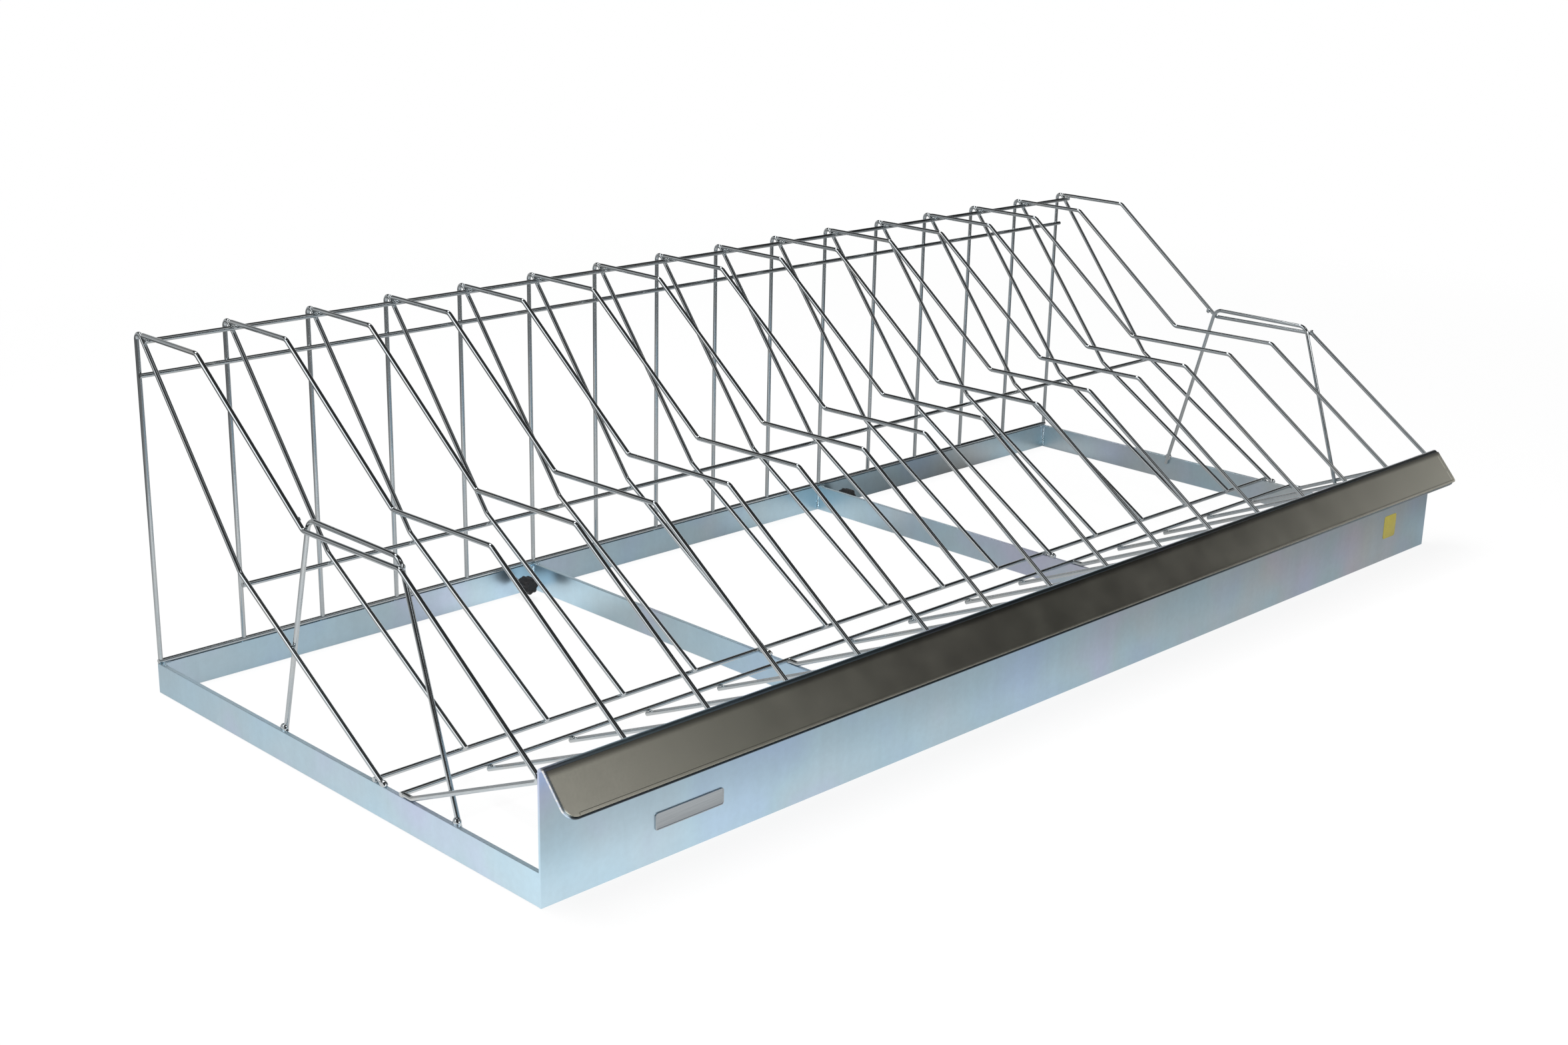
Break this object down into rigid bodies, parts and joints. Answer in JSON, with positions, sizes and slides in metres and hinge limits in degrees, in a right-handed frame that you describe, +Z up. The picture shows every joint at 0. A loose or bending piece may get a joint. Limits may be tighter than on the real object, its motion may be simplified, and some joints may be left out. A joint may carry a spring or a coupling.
{
  "type": "esd reel rack",
  "caption": "Long low rack of bent wire dividers on a flat-bar base with a folded front panel, for standing component reels on edge in a row.",
  "frame": {"origin": "middle of the rack's box, on the surface it stands on", "axes": "+X along the row of dividers, +Y from the front panel to the rear bar, +Z up"},
  "size_m": [0.903, 0.4216, 0.236],
  "materials": {
    "zinc_sheet": "satin zinc plating, slightly blue",
    "zinc_wire": "bright zinc plating",
    "label_strip": "satin olive grey",
    "grip": "black moulded",
    "stud": "zinc plated thread"
  },
  "bodies": {
    "rack": {"front_panel": "zinc_sheet", "rear_bar": "zinc_sheet", "left_side_bar": "zinc_sheet", "right_side_bar": "zinc_sheet", "left_crossbar": "zinc_sheet", "right_crossbar": "zinc_sheet", "label_strip": "label_strip", "top_rod": "zinc_wire", "upper_back_rod": "zinc_wire", "rear_base_rod": "zinc_wire", "mid_rod": "zinc_wire", "seat_rod": "zinc_wire", "front_base_rod": "zinc_wire", "left_end_support": "zinc_wire", "right_end_support": "zinc_wire", "inner_wire_01": "zinc_wire", "inner_wire_02": "zinc_wire", "inner_wire_03": "zinc_wire", "inner_wire_04": "zinc_wire", "inner_wire_05": "zinc_wire", "inner_wire_06": "zinc_wire", "inner_wire_07": "zinc_wire", "inner_wire_08": "zinc_wire", "inner_wire_09": "zinc_wire", "inner_wire_10": "zinc_wire", "inner_wire_11": "zinc_wire", "inner_wire_12": "zinc_wire", "inner_wire_13": "zinc_wire", "inner_wire_14": "zinc_wire", "inner_wire_15": "zinc_wire", "inner_wire_16": "zinc_wire", "outer_wire_01": "zinc_wire", "outer_wire_02": "zinc_wire", "outer_wire_03": "zinc_wire", "outer_wire_04": "zinc_wire", "outer_wire_05": "zinc_wire", "outer_wire_06": "zinc_wire", "outer_wire_07": "zinc_wire", "outer_wire_08": "zinc_wire", "outer_wire_09": "zinc_wire", "outer_wire_10": "zinc_wire", "outer_wire_11": "zinc_wire", "outer_wire_12": "zinc_wire", "outer_wire_13": "zinc_wire", "outer_wire_14": "zinc_wire", "outer_wire_15": "zinc_wire", "outer_wire_16": "zinc_wire"},
    "left_screw": {"left_stud": "stud"},
    "left_knob": {"left_grip": "grip"},
    "right_screw": {"right_stud": "stud"},
    "right_knob": {"right_grip": "grip"}
  },
  "joints": [
    {"name": "left_screw_travel", "type": "slide", "parent": "rack", "child": "left_screw", "axis": [0, 1, 0], "range_m": [0, 0.00665]},
    {"name": "left_knob_turn", "type": "hinge", "parent": "left_screw", "child": "left_knob", "pos_m": [-0.168, 0.19883, 0.011], "axis": [0, 1, 0], "range_deg": [0, 3420]},
    {"name": "right_screw_travel", "type": "slide", "parent": "rack", "child": "right_screw", "axis": [0, 1, 0], "range_m": [0, 0.00665]},
    {"name": "right_knob_turn", "type": "hinge", "parent": "right_screw", "child": "right_knob", "pos_m": [0.168, 0.19883, 0.011], "axis": [0, 1, 0], "range_deg": [0, 3420]}
  ],
  "couplings": [
    {"joint": "left_knob_turn", "follows": "left_screw_travel", "rad_per_m": 8976},
    {"joint": "right_knob_turn", "follows": "right_screw_travel", "rad_per_m": 8976}
  ]
}
